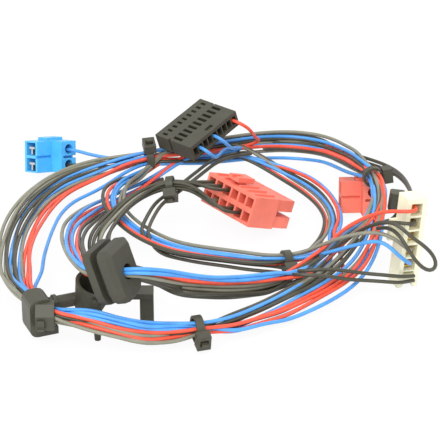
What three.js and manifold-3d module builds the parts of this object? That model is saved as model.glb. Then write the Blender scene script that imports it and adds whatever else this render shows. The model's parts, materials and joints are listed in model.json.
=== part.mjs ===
// A loose wiring harness: bundled single-core wires with moulded connectors, a rubber grommet,
// a snap clip on a small bracket, a splice block and nylon ties. Millimetres, +Z up.
import * as THREE from "three";
import { mergeVertices } from "three/addons/utils/BufferGeometryUtils.js";
import Module from "manifold-3d";

const wasm = await Module();
wasm.setup();

// Driving dimensions

// The middle of the footprint sits this far from the origin that the routes are written in.
const FOOTPRINT_SHIFT = new THREE.Vector3(0.5, 25.5, 0);
const CLEARANCE = 0.3; // between two pieces that touch on the real harness
const CUT = 1; // how far a cutting tool runs past the face that it opens

const WIRE_RADIUS = 0.65;
const BUNDLE_RADIUS = {
  left: 3.4,
  back: 3.3,
  right: 2.5,
  fan: 3.8,
  front: 3.3,
  clip: 2.6,
  inner: 2.2,
  branch: 2.2,
  socket: 1.8,
};

// Nylon tie
const TIE_THICKNESS = 0.9;
const TIE_WIDTH = 2.6;
const TIE_HEAD = { width: 4.4, length: 5.2, height: 3.4 };
const TIE_TAIL = { length: 1.6, thickness: 1.1 };

// Two-way connector with the wires leaving sideways
const TWO_WAY = {
  pitch: 5.8,
  nose_length: 7,
  nose_thickness: 7.4,
  block_length: 6.8,
  block_step: 5.5,
  wall: 1.1,
  mouth_depth: 5.4,
  wire_hole_radius: 1.8,
  wire_hole_from_shoulder: 3.5,
  wire_hole_depth: 5.5,
  groove: 0.9,
  latch: { height: 1.1, overhang: 1.6, setback: 1 },
};
const CONTACT = { width: 3, length: 4.6, thickness: 0.8 };

// Nine-way flat connector
const NINE_WAY = {
  ways: 9,
  pitch: 2.5,
  end_wall: 0.75,
  depth: 18.6,
  thickness: 6,
  small_window: { width: 1.1, length: 2.4, from_front: 3.5 },
  large_window: { width: 1.3, length: 4.4, from_front: 10.3 },
  window_depth: 2.6,
  recess: { width: 3.4, length: 1.8, depth: 0.8, from_front: 16.4 },
  groove: 0.8,
  groove_from_front: 7,
  wire_hole: { width: 2, height: 3.2, depth: 6 },
  header_slot: { height: 1.8, depth: 5.6, roof: 2.2 },
  foot: { width: 2.4, length: 4, height: 1.3, inset: 2 },
};

// Twelve-way receptacle, two rows of six
const TWELVE_WAY = {
  ways: 6,
  rows: 2,
  pitch: 4.2,
  end_wall: 0.6,
  height: 10.9,
  row_pitch: 5.2,
  cavity: 3.3,
  cavity_depth: 8,
  block_depth: 11.5,
  tower_depth: 7.9,
  tower_height: 4.1,
  tower_gap: 2,
  tower_width: 3.8,
  rib: { width: 0.9, height: 0.7, length: 9, from_wire_face: 1.4 },
  latch: { width: 5.4, length: 7.5, height: 1.8, lift: 1.1, from_wire_face: 1.5, off_middle: 2.1 },
  latch_root: { inset: 0.8, from: 3.5, length: 2.5 },
  web_setback: 2,
};

// Five-way connector that stands on its end
const FIVE_WAY = {
  ways: 5,
  pitch: 5,
  length: 32,
  width: 7.2,
  depth: 6.8,
  top_margin: 3.7,
  opening: { length: 4.2, width: 4, depth: 5.2 },
  notch: { width: 4.2, depth: 3 },
  slot: { length: 1.1, width: 3.8, depth: 2, height: 4.6 },
  side_plate: { length: 7.6, thickness: 1.6, reach: 2.6, from_foot: 15.2 },
  contact: { thickness: 0.6, height: 2.6 },
};

// Grommet with two flanges and a groove
const GROMMET = {
  width: 13.8,
  height: 19,
  corner: 2,
  foot_flat: 3.8,
  thin_flange: 2.8,
  groove_width: 2.6,
  groove_depth: 2.8,
  thick_flange: 4.6,
  bevel: 1.6,
};

// Snap clip round the bundle: a band, a latch block on its front and a hook under the mouth
const CLIP = {
  length: 8.6,
  width: 7.6,
  height: 13,
  lift: 1.9,
  corner: 2.6,
  foot_flat: 3,
  mouth: { bottom: 1.5, top: 4.2 },
  lip: { width: 1.3, height: 2.6, length: 5 },
  hook_reach: 1.6,
};
const LATCH_BLOCK = { width: 6, depth: 6.2, bottom: 6, top: 13.9, chamfer: 1.5 };
const PAWL = { width: 2.4, height: 3.2, thickness: 1, lip: 0.8 };

// Bracket beside the clip
const BRACKET = {
  cup: { top_radius: 6.6, bottom_radius: 4.4, depth: 10.5, wall: 1, floor: 1.2 },
  leg: { top_radius: 1.9, tip_radius: 1, height: 15 },
  arm: { radius: 2.2, height: 10.6, reach: 9.4 },
  collar: { radius: 2.8, width: 1.2, offset: 1 },
  web: { thickness: 2.6, bottom: 10.4, top: 12.4 },
  post: { width: 4.3, depth: 4.2, wall: 1.1, top: 11.4, hollow: 8 },
  flange: { width: 7.9, depth: 6.2, thickness: 1.6, step: 0.6 },
};

const SPLICE = { width: 5.2, depth: 4.2, height: 6.6, chamfer: 0.7 };

// Routes, as points chosen along each wire or bundle

const ROUTES = {
  left: [
    [-59.5, -79.7, 10.1], [-61.6, -75.2, 9.8], [-64.4, -69, 9.4], [-67.4, -54, 8], [-68.8, -34, 7],
    [-67.6, -14, 6.6], [-63.4, 3.6, 6.6], [-56, 16, 7.2], [-45, 22.4, 9], [-34, 25.4, 11.2], [-26.6, 26.9, 12.4],
  ],
  back: [
    [-25.8, 27.1, 12.4], [-15, 29.2, 12.6], [-2, 32.2, 12.6], [7.4, 35.6, 12.4], [16, 40, 11.4],
    [26.4, 42.6, 10.4], [36.4, 39, 10.6], [44.4, 23, 14.2], [50.4, 5.4, 17.8], [52.9, 0, 18.3],
  ],
  right: [
    [53.3, -1.2, 18.4], [53.9, -4.4, 18.7], [54.4, -12, 18.7], [54.5, -20.2, 17.3], [53, -26.8, 14.8],
    [51, -31, 12.8],
  ],
  fan: [
    [50.8, -31.4, 12.7], [47.4, -37, 10.6], [41.8, -46.4, 8.2], [34.6, -56.4, 7], [26.1, -65.5, 6.4], [17.7, -73.6, 5.9],
    [9.6, -80.4, 5.6], [1, -86.4, 5.4], [-4.8, -88.8, 5.4],
  ],
  front: [
    [-5.2, -88.9, 5.4], [-16, -92, 5.6], [-24, -94, 6.6], [-31, -94.2, 8.4], [-38, -92.8, 10],
    [-45.4, -89.7, 9.9], [-50.5, -88.8, 9.7],
  ],
  clip: [
    [-51.1, -88.7, 9.7], [-54.2, -87.6, 9.8], [-56.5, -85.4, 9.9], [-57.9, -83, 10], [-59.3, -80.1, 10.1],
  ],
  inner: [
    [14, 36.2, 4.6], [20.4, 32, 4.8], [26.6, 25.4, 5.2], [34, 13.2, 5.6], [38.6, -2, 6], [39.4, -14, 6],
    [36.2, -28, 6.2], [29.6, -40.4, 7], [22.6, -46, 7.6], [14, -46.6, 8], [3.4, -43.6, 8], [-8.2, -40.4, 8],
    [-18.6, -35.6, 8.2], [-27.8, -26.6, 8.6], [-34.8, -15, 9], [-38, -2.6, 9.2], [-36.2, 9.4, 9],
    [-32.6, 16.2, 8.6], [-29.6, 20.4, 7.9],
  ],
  branch_left: [
    [-33.7, -87.5, 24.4], [-38.4, -85.1, 22.6], [-42.6, -80.4, 22], [-45.4, -71, 21], [-47.6, -59, 18.6], [-49, -45, 15.4],
    [-48.8, -26, 11], [-44.4, -6, 6.4], [-37.8, 10, 2.8], [-29.6, 20, 2.8], [-21.6, 25.6, 5],
  ],
  branch_right: [
    [-32.2, -88.3, 24.9], [-27.4, -90.8, 26.6], [-22, -91, 26], [-14.6, -86, 21.4], [-6.2, -79, 16.4],
    [3.4, -72, 12.4], [12.4, -65.8, 9.8], [18.6, -62, 8.9],
  ],
  socket: [
    [-21.6, -62.6, 10], [-28, -59.6, 9.4], [-34.6, -55, 9.4], [-39.6, -46, 9.6], [-40.6, -35, 10.8],
    [-36, -22.6, 12.8], [-30, -11.4, 13.9], [-23, -5.6, 15.4], [-14, -6, 17], [-8, -7.5, 16.2], [-1.8, -7.5, 14.5],
  ],
};

const WIRES = {
  lead_two_way_blue_upper: [
    [-57.7, 36.7, 11.3], [-56, 35, 11.9], [-53.6, 32.7, 12.8], [-48.6, 30.4, 12.2], [-40, 28.8, 11.2],
  ],
  lead_two_way_blue_lower: [
    [-57.7, 34.8, 5.8], [-56, 33.1, 6.4], [-53.4, 31, 7.6], [-48.4, 29.6, 8], [-42.4, 27.4, 8.4],
  ],
  lead_nine_way_left: [
    [-8.2, 14.4, 22.4], [-6.8, 13, 22.5], [-5.1, 11.2, 22.5], [-3, 10.8, 20.4], [-1.6, 15, 17.6], [0.2, 22, 16.2],
    [2, 28.4, 15.4],
  ],
  lead_nine_way_middle: [
    [-3.2, 19.4, 24.8], [-1.8, 18, 24.85], [0, 16.1, 24.9], [2.4, 15.6, 22.8], [4, 19.5, 19.4], [5.8, 25.6, 16.8],
    [8, 31.2, 15.2],
  ],
  lead_nine_way_right: [
    [3.6, 26.1, 27.9], [5, 24.7, 28], [7.2, 22.6, 28], [10.2, 23, 26], [12, 27.5, 21.5], [13.6, 33, 17.2],
    [15, 35.8, 15],
  ],
  lead_five_way_1: [
    [35.8, -45.6, 13], [41, -45.4, 18.6], [49, -47.6, 24.6], [55.4, -52, 28.6], [60.4, -55.4, 30],
    [63.9, -54.9, 29.8], [64.6, -52.2, 29.4], [63.8, -49.6, 29.3],
  ],
  lead_five_way_2: [
    [46.2, -40.4, 15.2], [49.4, -44.6, 19.4], [54.4, -50.6, 23.8], [59.6, -55.2, 25.8], [63.5, -55.2, 25.2],
    [64.2, -52.4, 24.4], [63.4, -49.7, 24.3],
  ],
  lead_five_way_4: [
    [26.7, -45.5, 10], [33, -45.6, 12.6], [40, -48.4, 17], [46.4, -50.6, 19.8], [52.4, -52.8, 21.2],
    [58, -55.6, 19.8], [62.2, -56, 15.9], [63.6, -53.4, 14.6], [62.6, -49.9, 14.3],
  ],
  lead_five_way_5: [
    [26.7, -46.9, 8.6], [34, -47.6, 10.6], [41.6, -49.6, 14], [48.8, -52.6, 17.6], [52.4, -54.4, 19],
    [55, -56.4, 18.4], [58.8, -58.2, 15], [61.8, -57, 12.2], [63.2, -53.8, 9.8], [62.2, -50, 9.4],
  ],
  lead_five_way_foot_upper: [
    [26.4, -59.8, 10.5], [34, -60.4, 11.6], [41.2, -57.6, 9.6], [48.6, -56.4, 7.8], [55, -57, 7.6],
    [59.4, -55.9, 6.4], [62.4, -53.6, 5.4], [64.4, -52.3, 4.9],
  ],
  lead_five_way_foot_lower: [
    [25.8, -63.4, 11.1], [34, -63.2, 10.7], [41.4, -59.2, 7.2], [48.8, -57.4, 5.8], [55.4, -57.6, 5.4],
    [59.4, -56.4, 4.4], [62.4, -53.8, 3.6], [64.4, -52.4, 3.3],
  ],
  jumper_loop: [
    [50.4, -52, 23.8], [53.8, -57, 27.2], [58, -61, 27.8], [61.2, -62.2, 24.6], [66.2, -62, 21], [69.8, -62.4, 17],
    [70.9, -62.6, 14], [69.6, -63, 12], [67.2, -63, 12], [64.6, -63, 14.4], [62.4, -62.8, 17.4],
    [60, -61.4, 21.4], [57, -57, 24], [53.6, -52.8, 23.2], [51.8, -50.6, 21.6],
  ],
  back_lead_upper: [
    [44.6, 34.2, 12], [52.8, 27.4, 12.2], [60, 19, 13], [64.4, 8, 14.4], [66.2, -6, 16.2], [66, -18, 18],
    [64, -30, 18.8], [61.6, -36, 18.4], [59.3, -39.8, 18],
  ],
  back_lead_lower: [
    [45.2, 34.6, 9.9], [53.4, 27.8, 10], [60.6, 19.4, 10.9], [65, 8.2, 12.3], [66.8, -6, 14.1], [66.6, -18.2, 15.9],
    [64.4, -30.2, 16.6], [61.8, -36, 16.2], [59.1, -39.9, 15.8],
  ],
  lead_two_way_red_upper: [
    [53.9, 1.3, 10.9], [54.1, -1.1, 11.4], [54.3, -4, 12], [54.6, -9, 13.4], [54.7, -14, 14.9],
  ],
  lead_two_way_red_lower: [
    [53.9, 0.2, 5.2], [54.1, -2.3, 5.7], [54.4, -6, 6.4], [55, -13, 8.2], [54.6, -20, 10.6], [53.6, -25, 12],
  ],
  splice_lead: [[61.2, -20.8, 12.9], [60.4, -21.6, 11.6], [58, -24.6, 11.4], [55.2, -28, 12.2]],
};

// Where each moulded piece sits

const NINE_WAY_PLACE = { corner: [-23.5, 22.8, 23.3], row: [0.676, 0.669, 0.311], depth: [0.692, -0.721, 0.036] };
const TWELVE_WAY_PLACE = { corner: [-3.7, 0.8, 18.5], row: [0.622, -0.783, -0.009], depth: [0.733, 0.581, -0.353] };
const FIVE_WAY_PLACE = { foot: [62.2, -51.9, 0.5], row: [0.079, 0.02, 0.997], face: [0.36, -0.933, -0.01] };
const TWO_WAY_PLACES = {
  blue: { at: [-64.9, 36.2, 2.6], turn: 43.7, lean: 19 },
  red: { at: [50, 5.8, 1], turn: 4, lean: 12 },
};
const GROMMET_PLACE = { middle: [-32.8, -88, 24.7], axis: [0.845, -0.433, 0.313], up: [-0.3, 0.1, 0.949] };
const CLIP_PLACE = { middle: [-57.8, -84], axis: [0.39, -0.92] };
const LATCH_PLACE = { right: -51.9, back: -85.7 };
const CUP_PLACE = { rim: [-39.3, -81.1, 17.3], axis: [0.27, -0.21, 0.94] };
const LEG_PLACE = [-38.8, -86.6];
const POST_PLACE = [-23.4, -77.4];
const SPLICE_PLACE = [60.7, -20.8, 17.6];

// Each tie sits on one bundle: the point, the bundle's direction and the side that the head is on.
const TIES = {
  tie_upper_left: { bundle: "left", at: [-26, 27.05, 12.4], along: [0.98, 0.2, 0.04], head: [-0.1, -0.35, 0.93] },
  tie_upper_right: { bundle: "right", at: [53.8, -3.6, 18.65], along: [0.16, -0.98, 0.08], head: [1, 0.2, 0.1] },
  tie_front: { bundle: "front", at: [-7, -89.45, 5.4], along: [-0.95, -0.3, 0], head: [0.19, -0.95, -0.2] },
  tie_socket: { bundle: "socket", at: [-17.4, -5.4, 16.5], along: [0.978, -0.1, 0.18], head: [0, -0.8, -0.6] },
  tie_inner: { bundle: "inner", at: [22.2, -46.15, 7.63], along: [-0.946, -0.32, 0.06], head: [0.1, -0.9, -0.4] },
};

// Colours

const COLOURS = {
  sky_blue: [0x3ba0e6, 0.4],
  signal_red: [0xe0442f, 0.4],
  black_nylon: [0x1d1c18, 0.5],
  black_rubber: [0x262521, 0.7],
  ivory: [0xe6e2c8, 0.45],
  tin: [0xb9bbbd, 0.3, 0.9],
  brass: [0xc9a04a, 0.35, 0.8],
  bundle: [0x2f2f2c, 0.5],
  wire_blue: [0x1f6fd0, 0.45],
  wire_red: [0xd0301f, 0.45],
  wire_black: [0x201f1c, 0.45],
  wire_grey: [0x4b4a44, 0.45],
};

const materials = Object.fromEntries(
  Object.entries(COLOURS).map(([name, [color, roughness, metalness = 0]]) => [
    name,
    new THREE.MeshStandardMaterial({ color, roughness, metalness }),
  ]),
);

// Solids

function solidOf(geometry) {
  const bare = geometry.clone();
  for (const name of Object.keys(bare.attributes)) if (name !== "position") bare.deleteAttribute(name);
  const merged = mergeVertices(bare, 1e-4);
  return new wasm.Manifold(
    new wasm.Mesh({
      numProp: 3,
      vertProperties: new Float32Array(merged.attributes.position.array),
      triVerts: new Uint32Array(merged.index.array),
    }),
  );
}

function geometryOf(solid) {
  const mesh = solid.getMesh();
  const geometry = new THREE.BufferGeometry();
  geometry.setAttribute("position", new THREE.BufferAttribute(mesh.vertProperties, 3));
  geometry.setIndex(new THREE.BufferAttribute(mesh.triVerts, 1));
  geometry.computeVertexNormals();
  return geometry;
}

// A box from its lowest to its highest corner.
function block([x0, y0, z0], [x1, y1, z1]) {
  const geometry = new THREE.BoxGeometry(x1 - x0, y1 - y0, z1 - z0);
  return solidOf(geometry.translate((x0 + x1) / 2, (y0 + y1) / 2, (z0 + z1) / 2));
}

// An outline in X and Y, pulled up along Z.
function prism(points, height, bottom = 0) {
  const shape = new THREE.Shape(points.map(([x, y]) => new THREE.Vector2(x, y)));
  const geometry = new THREE.ExtrudeGeometry(shape, { depth: height, bevelEnabled: false });
  return solidOf(geometry.translate(0, 0, bottom));
}

function cylinder(radius, length, sides = 16) {
  return new THREE.CylinderGeometry(radius, radius, length, sides);
}

// An outline with rounded corners, whose lower corners leave a flat foot of the given width.
function lobedOutline(width, height, corner, footFlat) {
  const [halfWidth, halfHeight] = [width / 2, height / 2];
  const footCorner = halfWidth - footFlat / 2;
  const arc = (x, y, radius, start) =>
    [0, 1, 2, 3].map((i) => {
      const angle = start + (i * Math.PI) / 6;
      return [x + radius * Math.cos(angle), y + radius * Math.sin(angle)];
    });
  return [
    ...arc(halfWidth - corner, halfHeight - corner, corner, 0),
    ...arc(-halfWidth + corner, halfHeight - corner, corner, Math.PI / 2),
    ...arc(-halfWidth + footCorner, -halfHeight + footCorner, footCorner, Math.PI),
    ...arc(halfWidth - footCorner, -halfHeight + footCorner, footCorner, (3 * Math.PI) / 2),
  ];
}

function cut(solid, tools) {
  return tools.reduce((body, tool) => body.subtract(tool), solid);
}

function join(solids) {
  return solids.reduce((body, piece) => body.add(piece));
}

// A placement from an origin and the directions of local X and local Y.
function placement(origin, xDirection, yDirection) {
  const x = new THREE.Vector3(...xDirection).normalize();
  const z = new THREE.Vector3().crossVectors(x, new THREE.Vector3(...yDirection)).normalize();
  const y = new THREE.Vector3().crossVectors(z, x);
  return new THREE.Matrix4().makeBasis(x, y, z).setPosition(...origin);
}

function mesh(name, geometry, material, matrix) {
  const made = new THREE.Mesh(geometry, materials[material]);
  made.name = name;
  if (matrix) {
    made.matrix.copy(matrix);
    made.matrix.decompose(made.position, made.quaternion, made.scale);
  }
  return made;
}

// Wires and bundles

function tube(points, radius, stepLength, sides = 8) {
  const curve = new THREE.CatmullRomCurve3(points.map((p) => new THREE.Vector3(...p)), false, "centripetal");
  const section = new THREE.Shape(
    Array.from({ length: sides }, (_, i) => {
      const angle = (2 * i * Math.PI) / sides;
      return new THREE.Vector2(radius * Math.cos(angle), radius * Math.sin(angle));
    }),
  );
  const steps = Math.min(80, Math.round(curve.getLength() / stepLength));
  return new THREE.ExtrudeGeometry(section, { steps, extrudePath: curve, bevelEnabled: false });
}

function bundles() {
  const radii = { ...BUNDLE_RADIUS, branch_left: BUNDLE_RADIUS.branch, branch_right: BUNDLE_RADIUS.branch };
  return Object.entries(ROUTES).map(([name, points]) =>
    mesh("bundle_" + name, tube(points, radii[name], Math.max(2, radii[name] * 1.4)), "bundle"),
  );
}

const WIRE_COLOURS = {
  lead_two_way_blue_upper: "wire_blue",
  lead_nine_way_left: "wire_blue",
  lead_nine_way_middle: "wire_blue",
  lead_nine_way_right: "wire_red",
  lead_five_way_1: "wire_red",
  lead_five_way_4: "wire_grey",
  lead_five_way_5: "wire_blue",
  lead_two_way_red_upper: "wire_blue",
  lead_two_way_red_lower: "wire_grey",
};

function wires() {
  return Object.entries(WIRES).map(([name, points]) =>
    mesh(name, tube(points, WIRE_RADIUS, 3.2), WIRE_COLOURS[name] ?? "wire_black"),
  );
}

// Nylon tie: a closed band round the bundle, a ratchet head on one side and the cut tail in it.
function tieSolid(radius) {
  const inner = radius + CLEARANCE;
  const outer = inner + TIE_THICKNESS;
  const half = TIE_WIDTH / 2;
  const profile = [[inner, -half], [outer, -half], [outer, half], [inner, half], [inner, -half]];
  const band = solidOf(new THREE.LatheGeometry(profile.map(([x, y]) => new THREE.Vector2(x, y)), 24));
  const head = block(
    [-TIE_HEAD.length / 2, -TIE_HEAD.width / 2, outer - TIE_THICKNESS / 2],
    [TIE_HEAD.length / 2, TIE_HEAD.width / 2, outer - TIE_THICKNESS / 2 + TIE_HEAD.height],
  );
  const slot = block(
    [-TIE_TAIL.thickness, -half, outer + TIE_THICKNESS],
    [TIE_TAIL.thickness, half, outer + TIE_HEAD.height + CUT],
  );
  const tail = block(
    [-TIE_TAIL.thickness / 2, -half + CLEARANCE, outer],
    [TIE_TAIL.thickness / 2, half - CLEARANCE, outer + TIE_HEAD.height + TIE_TAIL.length - TIE_THICKNESS],
  );
  return join([band, cut(head, [slot]), tail]);
}

function ties() {
  return Object.entries(TIES).map(([name, tie]) => {
    const along = new THREE.Vector3(...tie.along).normalize();
    const head = new THREE.Vector3(...tie.head);
    head.addScaledVector(along, -head.dot(along)).normalize();
    const side = new THREE.Vector3().crossVectors(along, head);
    const matrix = new THREE.Matrix4().makeBasis(side, along, head).setPosition(...tie.at);
    const solid = tieSolid(BUNDLE_RADIUS[tie.bundle]);
    return mesh(name, geometryOf(solid), "black_nylon", matrix);
  });
}

// Two-way connector. Local +X runs from the mating nose to the wire block, -Y is the wire side.
function twoWayHousing() {
  const t = TWO_WAY;
  const height = 2 * t.pitch;
  const half = t.nose_thickness / 2;
  const nose = block([-t.nose_length, -half, 0], [CLEARANCE, half, height]);
  const wireSide = -half - t.block_step;
  const rear = block([0, wireSide, 0], [t.block_length, half, height]);
  const latch = block(
    [-t.latch.overhang, -half + t.wall, height - CLEARANCE],
    [t.block_length - t.latch.setback, half - t.wall, height + t.latch.height],
  );
  const tools = [];
  for (let way = 0; way < 2; way++) {
    const middle = (way + 0.5) * t.pitch;
    const mouthHalf = t.pitch / 2 - t.wall / 2;
    tools.push(
      block(
        [-t.nose_length - CUT, -half + t.wall, middle - mouthHalf],
        [-t.nose_length + t.mouth_depth, half - t.wall, middle + mouthHalf],
      ),
    );
    const hole = cylinder(t.wire_hole_radius, t.wire_hole_depth + CUT, 12);
    hole.translate(t.wire_hole_from_shoulder, wireSide + t.wire_hole_depth / 2 - CUT / 2, middle);
    tools.push(solidOf(hole));
  }
  const grooveZ = t.pitch - t.groove / 2;
  tools.push(
    block(
      [-t.nose_length - CUT, -half - CUT, grooveZ],
      [-CLEARANCE, -half + t.groove, grooveZ + t.groove],
    ),
  );
  tools.push(
    block(
      [t.groove, wireSide - CUT, grooveZ],
      [t.block_length + CUT, wireSide + 2 * t.groove, grooveZ + t.groove],
    ),
  );
  return cut(join([nose, rear, latch]), tools);
}

// The tinned tongue inside one mouth, a T in section, held by the mouth's inner end.
function twoWayContact(way) {
  const t = TWO_WAY;
  const middle = (way + 0.5) * t.pitch;
  const back = -t.nose_length + t.mouth_depth - CLEARANCE;
  const floor = middle - t.pitch / 2 + t.wall / 2 + CLEARANCE;
  const web = block(
    [back - CONTACT.length, -CONTACT.thickness / 2, floor],
    [back, CONTACT.thickness / 2, middle + CLEARANCE],
  );
  const top = block(
    [back - CONTACT.length, -CONTACT.width / 2, middle],
    [back, CONTACT.width / 2, middle + CONTACT.thickness],
  );
  return join([web, top]);
}

function twoWayConnector(colour, material) {
  const place = TWO_WAY_PLACES[colour];
  const group = new THREE.Group();
  group.position.set(...place.at);
  group.rotation.set(THREE.MathUtils.degToRad(-place.lean), 0, THREE.MathUtils.degToRad(place.turn), "XYZ");
  group.add(mesh(`two_way_${colour}_housing`, geometryOf(twoWayHousing()), material));
  for (let way = 0; way < 2; way++)
    group.add(mesh(`two_way_${colour}_contact_${way + 1}`, geometryOf(twoWayContact(way)), "tin"));
  return group;
}

// Nine-way connector. Local X along the row, Y from the mating edge to the wire edge, top face at Z 0.
function nineWayHousing() {
  const n = NINE_WAY;
  const length = n.ways * n.pitch + 2 * n.end_wall;
  const body = block([0, 0, -n.thickness], [length, n.depth, 0]);
  const feet = [n.foot.inset, length - n.foot.inset - n.foot.width].map((x) =>
    block(
      [x, n.depth - n.foot.length - n.foot.inset, -n.thickness - n.foot.height],
      [x + n.foot.width, n.depth - n.foot.inset, CLEARANCE - n.thickness],
    ),
  );
  const window = (middle, size) =>
    block(
      [middle - size.width / 2, size.from_front - size.length / 2, -n.window_depth],
      [middle + size.width / 2, size.from_front + size.length / 2, CUT],
    );
  const tools = [];
  for (let way = 0; way < n.ways; way++) {
    const middle = n.end_wall + (way + 0.5) * n.pitch;
    tools.push(window(middle, n.small_window), window(middle, n.large_window));
    tools.push(
      block(
        [middle - n.wire_hole.width / 2, n.depth - n.wire_hole.depth, (-n.thickness - n.wire_hole.height) / 2],
        [middle + n.wire_hole.width / 2, n.depth + CUT, (-n.thickness + n.wire_hole.height) / 2],
      ),
    );
  }
  const slot = n.header_slot;
  tools.push(
    block(
      [n.end_wall, -CUT, -slot.roof - slot.height],
      [length - n.end_wall, slot.depth, -slot.roof],
    ),
  );
  const r = n.recess;
  tools.push(
    block(
      [(length - r.width) / 2, r.from_front - r.length / 2, -r.depth],
      [(length + r.width) / 2, r.from_front + r.length / 2, CUT],
    ),
  );
  for (const x of [-CUT, length - n.groove])
    tools.push(
      block(
        [x, n.groove_from_front, -n.thickness - CUT],
        [x + CUT + n.groove, n.groove_from_front + n.groove, CUT],
      ),
    );
  return cut(join([body, ...feet]), tools);
}

function nineWayConnector() {
  const place = NINE_WAY_PLACE;
  // The row and depth directions leave the top face looking down, so the row is run backwards.
  const length = NINE_WAY.ways * NINE_WAY.pitch + 2 * NINE_WAY.end_wall;
  const row = new THREE.Vector3(...place.row).normalize();
  const farCorner = new THREE.Vector3(...place.corner).addScaledVector(row, length);
  const matrix = placement(farCorner.toArray(), row.negate().toArray(), place.depth);
  return mesh("nine_way_housing", geometryOf(nineWayHousing()), "black_nylon", matrix);
}

// Twelve-way receptacle. Local X along the rows, Y from the wire face to the mating end, top at Z 0.
function twelveWayHousing() {
  const t = TWELVE_WAY;
  const length = t.ways * t.pitch + 2 * t.end_wall;
  const middle = -t.height / 2;
  const body = block([0, 0, -t.height], [length, t.block_depth, 0]);
  const pieces = [body];
  const tools = [];
  for (let row = 0; row < t.rows; row++) {
    const z = middle + (row - 0.5) * t.row_pitch;
    const side = row === 0 ? -1 : 1;
    const inner = middle + (side * t.tower_gap) / 2;
    const outer = inner + side * t.tower_height;
    const [low, high] = [Math.min(inner, outer), Math.max(inner, outer)];
    for (let way = 0; way < t.ways; way++) {
      const x = t.end_wall + (way + 0.5) * t.pitch;
      const half = t.cavity / 2;
      tools.push(block([x - half, -CUT, z - half], [x + half, t.cavity_depth, z + half]));
      pieces.push(
        block(
          [x - t.tower_width / 2, t.block_depth - CLEARANCE, low],
          [x + t.tower_width / 2, t.block_depth + t.tower_depth, high],
        ),
      );
    }
    pieces.push(
      block(
        [t.end_wall, t.block_depth - CLEARANCE, low],
        [length - t.end_wall, t.block_depth + t.tower_depth - t.web_setback, high],
      ),
    );
  }
  const rib = t.rib;
  for (let i = 0; i < t.ways; i++) {
    const x = t.end_wall + (i + 0.5) * t.pitch;
    const fromLatch = Math.abs(x - length / 2 + t.latch.off_middle);
    if (fromLatch < t.latch.width / 2 + rib.width) continue;
    pieces.push(
      block(
        [x - rib.width / 2, rib.from_wire_face, -CLEARANCE],
        [x + rib.width / 2, rib.from_wire_face + rib.length, rib.height],
      ),
    );
  }
  return cut(join(pieces), tools);
}

// The latch lever lies over the top face and is carried by a root near the wire side.
function twelveWayLatch() {
  const t = TWELVE_WAY;
  const l = t.latch;
  const middle = (t.ways * t.pitch + 2 * t.end_wall) / 2 - l.off_middle;
  const [left, right] = [middle - l.width / 2, middle + l.width / 2];
  const lever = block([left, l.from_wire_face, l.lift], [right, l.from_wire_face + l.length, l.lift + l.height]);
  const root = block(
    [left + t.latch_root.inset, t.latch_root.from, CLEARANCE],
    [right - t.latch_root.inset, t.latch_root.from + t.latch_root.length, l.lift + l.height / 2],
  );
  const slot = block(
    [middle - l.width / 5, l.from_wire_face - CUT, l.lift + l.height / 2],
    [middle + l.width / 5, l.from_wire_face + l.length / 2, l.lift + l.height + CUT],
  );
  return cut(join([lever, root]), [slot]);
}

function twelveWayConnector() {
  const { corner, row, depth } = TWELVE_WAY_PLACE;
  const group = new THREE.Group();
  const matrix = placement(corner, row, depth);
  group.add(mesh("twelve_way_housing", geometryOf(twelveWayHousing()), "signal_red", matrix));
  group.add(mesh("twelve_way_latch", geometryOf(twelveWayLatch()), "signal_red", matrix));
  return group;
}

// Five-way connector. Local X up the row, Z out of the wire face, which lies at Z 0.
function fiveWayHousing() {
  const f = FIVE_WAY;
  const half = f.width / 2;
  const body = block([0, -half, -f.depth], [f.length, half, 0]);
  const tools = [];
  for (let way = 0; way < f.ways; way++) {
    const x = f.length - f.top_margin - way * f.pitch;
    const o = f.opening;
    tools.push(block([x - o.length / 2, -o.width / 2, -o.depth], [x + o.length / 2, o.width / 2, CUT]));
  }
  const s = f.slot;
  tools.push(block([s.height, -s.width / 2, -s.depth], [s.height + s.length, s.width / 2, CUT]));
  const notchHalf = f.notch.width / 2;
  const notch = [[-CUT, -notchHalf - CUT], [-CUT, notchHalf + CUT], [f.notch.depth, 0]];
  tools.push(prism(notch, f.depth + 2 * CUT, -f.depth - CUT));
  const p = f.side_plate;
  const plate = block(
    [p.from_foot, half - CLEARANCE, -f.depth],
    [p.from_foot + p.length, half + p.reach, -f.depth + p.thickness],
  );
  return cut(body.add(plate), tools);
}

// One folded contact at the bottom of each opening.
function fiveWayContacts() {
  const f = FIVE_WAY;
  const { thickness, height } = f.contact;
  return Array.from({ length: f.ways }, (_, way) => {
    const x = f.length - f.top_margin - way * f.pitch;
    const half = f.opening.length / 2 - CLEARANCE;
    const wide = f.opening.width / 2 - CLEARANCE;
    const bottom = -f.opening.depth + CLEARANCE;
    const base = block([x - half, -wide, bottom], [x + half, wide, bottom + thickness]);
    const ears = [x - half, x + half - thickness].map((start) =>
      block([start, -wide, bottom], [start + thickness, wide, bottom + height]),
    );
    return join([base, ...ears]);
  });
}

function fiveWayConnector() {
  const { foot, row, face } = FIVE_WAY_PLACE;
  const up = new THREE.Vector3(...row).normalize();
  const out = new THREE.Vector3(...face);
  out.addScaledVector(up, -out.dot(up)).normalize();
  const side = new THREE.Vector3().crossVectors(out, up);
  const matrix = placement(foot, up.toArray(), side.toArray());
  const group = new THREE.Group();
  group.add(mesh("five_way_housing", geometryOf(fiveWayHousing()), "ivory", matrix));
  fiveWayContacts().forEach((solid, i) =>
    group.add(mesh(`five_way_contact_${i + 1}`, geometryOf(solid), "brass", matrix)),
  );
  return group;
}

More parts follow.
